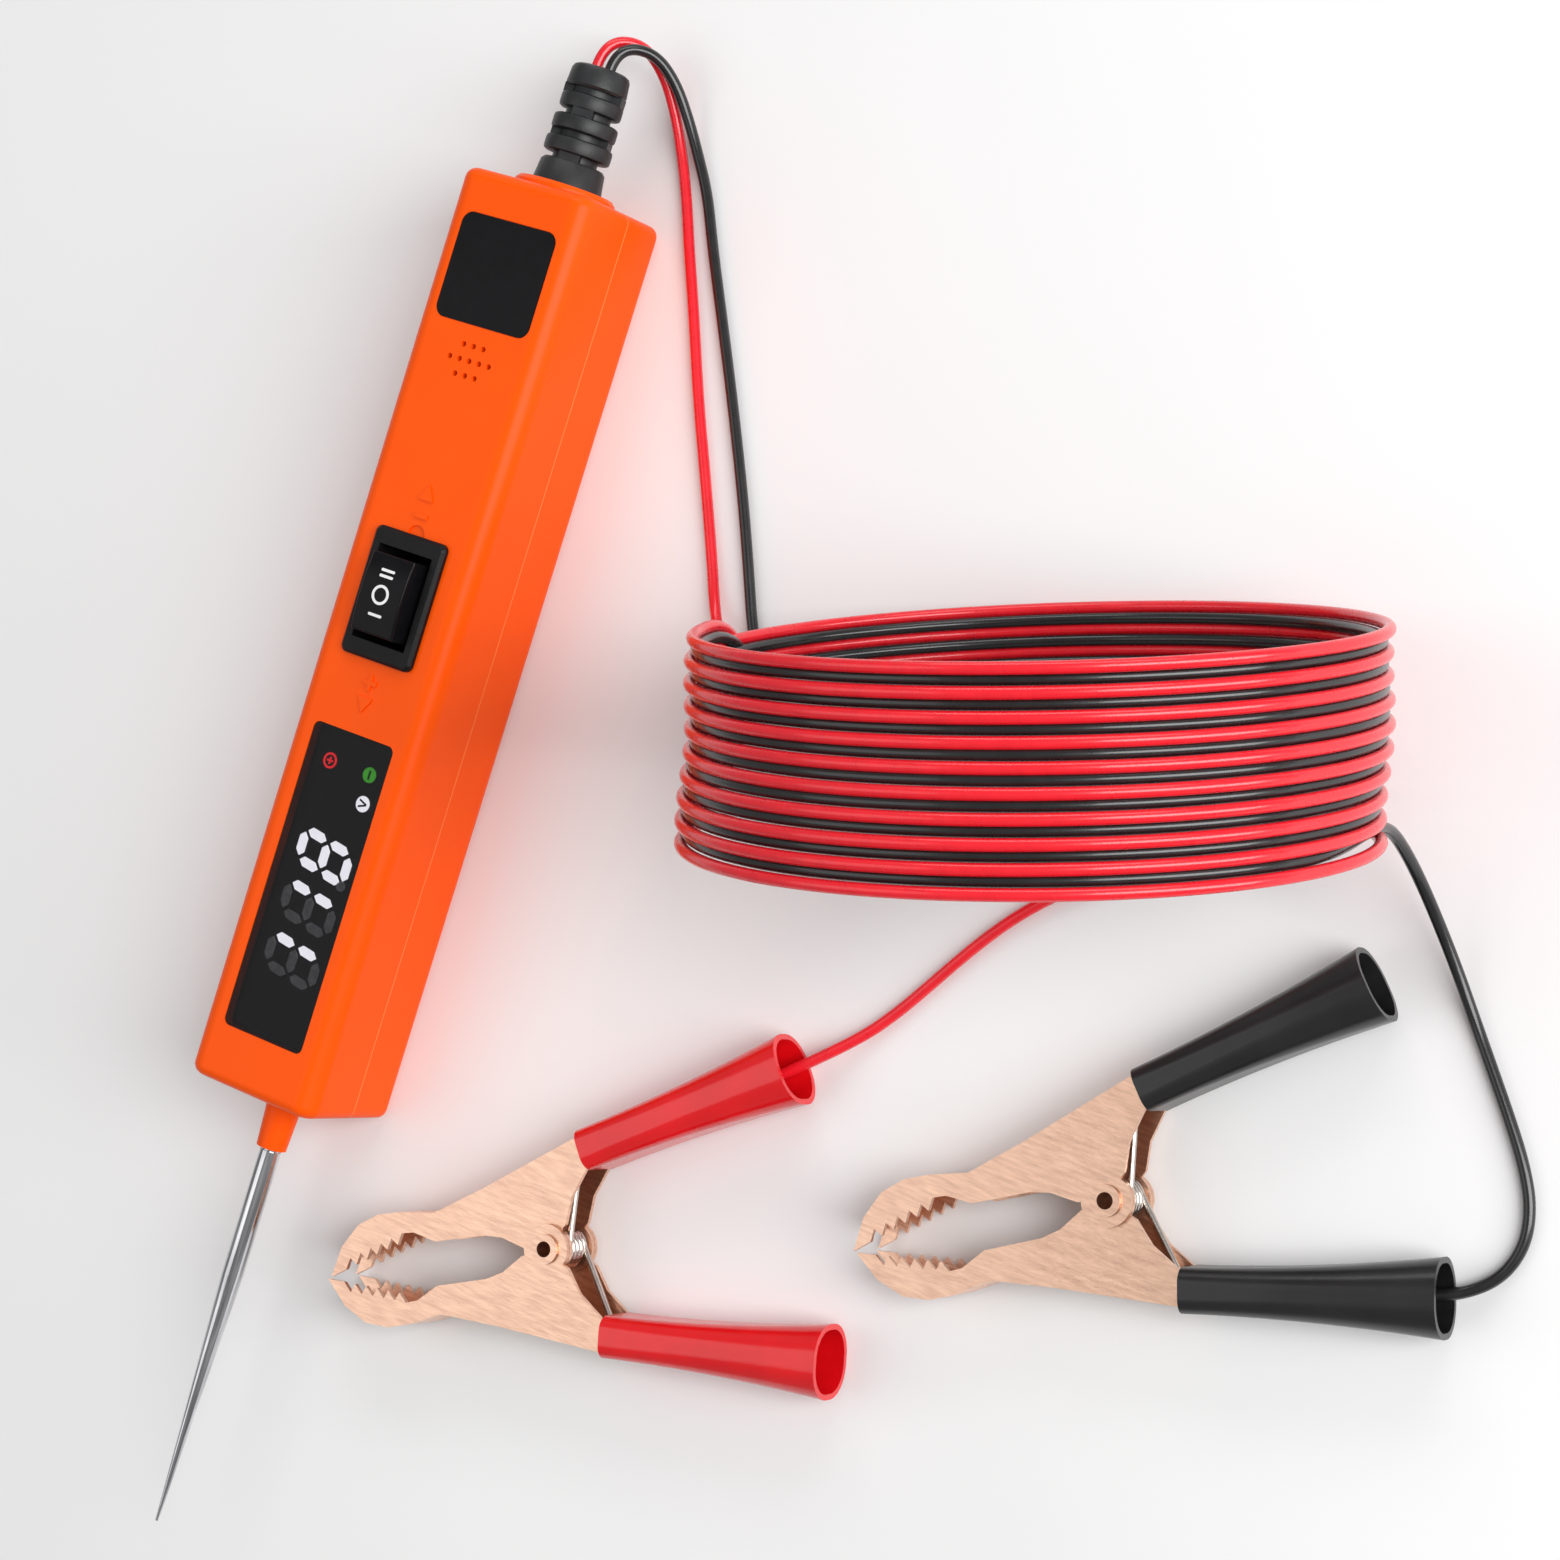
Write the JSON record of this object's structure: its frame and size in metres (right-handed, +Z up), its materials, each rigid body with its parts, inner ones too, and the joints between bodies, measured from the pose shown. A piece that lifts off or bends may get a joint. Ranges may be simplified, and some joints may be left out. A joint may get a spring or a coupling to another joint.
{
  "type": "circuit test light",
  "caption": "Automotive circuit tester: hand probe with rocker switch and voltage display, red and black leads wound in a coil, and sprung battery clamps.",
  "frame": {"origin": "on the surface that the probe lies on, under the middle of the probe from needle tip to strain relief, leads and clamps left out", "axes": "+Y along the probe from needle to cable end, +Z up out of its face, +X to the right of the face, towards the coil and clamps"},
  "size_m": [0.208, 0.2536, 0.0784],
  "materials": {
    "orange_case": "satin",
    "black_plastic": "matte",
    "black_gloss": "gloss",
    "black_rubber": "matte",
    "window": "gloss",
    "lit_white": "gloss",
    "dim_grey": "matte",
    "red_light": "gloss",
    "green_light": "gloss",
    "steel": "brushed",
    "needle_chrome": "polished",
    "brass": "satin",
    "copper_plate": "brushed",
    "board_green": "satin",
    "red_pvc": "gloss",
    "black_pvc": "satin"
  },
  "bodies": {
    "root": {"back_shell": "orange_case", "black_clamp_crimp": "brass", "black_clamp_lead_grip": "black_pvc", "black_clamp_lead_jaw": "copper_plate", "black_clamp_rivet": "copper_plate", "black_clamp_spring": "steel", "black_inner_wire": "black_pvc", "black_lead_from_probe": "black_pvc", "black_lead_to_clamp": "black_pvc", "board_screws": "steel", "buzzer": "black_plastic", "case_screws": "steel", "control_chip": "black_plastic", "dark_segments": "dim_grey", "display_board": "board_green", "display_module": "black_plastic", "display_pins": "brass", "display_window": "window", "front_label": "black_gloss", "front_shell": "orange_case", "lit_segments": "lit_white", "main_board": "board_green", "minus_light": "green_light", "plus_light": "red_light", "power_capacitor": "black_gloss", "probe_needle": "needle_chrome", "red_clamp_crimp": "brass", "red_clamp_lead_grip": "red_pvc", "red_clamp_lead_jaw": "copper_plate", "red_clamp_rivet": "copper_plate", "red_clamp_spring": "steel", "red_inner_wire": "red_pvc", "red_lead_from_probe": "red_pvc", "red_lead_to_clamp": "red_pvc", "strain_relief": "black_rubber", "switch_bezel": "black_plastic", "switch_body": "black_plastic", "switch_terminals": "brass", "tip_holder": "orange_case", "tip_terminal": "brass", "tip_wire": "red_pvc", "volt_light": "lit_white", "wound_leads": "red_pvc"},
    "rocker_body": {"rocker": "black_gloss"},
    "red_free_half": {"red_clamp_free_jaw": "copper_plate", "red_clamp_free_grip": "red_pvc"},
    "black_free_half": {"black_clamp_free_jaw": "copper_plate", "black_clamp_free_grip": "black_pvc"}
  },
  "joints": [
    {"name": "rocker_tilt", "type": "hinge", "parent": "root", "child": "rocker_body", "pos_m": [0, 0.0336, 0.0205], "axis": [1, 0, 0], "range_deg": [-10, 10], "stiffness_Nm_per_rad": 0.05},
    {"name": "red_clamp_open", "type": "hinge", "parent": "root", "child": "red_free_half", "pos_m": [0.0533, -0.0558, 0.00575], "axis": [0, 0, 1], "range_deg": [0, 26], "stiffness_Nm_per_rad": 0.8, "springref_deg": -28.65, "deforming": ["red_clamp_spring"]},
    {"name": "black_clamp_open", "type": "hinge", "parent": "root", "child": "black_free_half", "pos_m": [0.1383, -0.0158, 0.00575], "axis": [0, 0, -1], "range_deg": [0, 26], "stiffness_Nm_per_rad": 0.8, "springref_deg": -28.65, "deforming": ["black_clamp_spring"]}
  ]
}
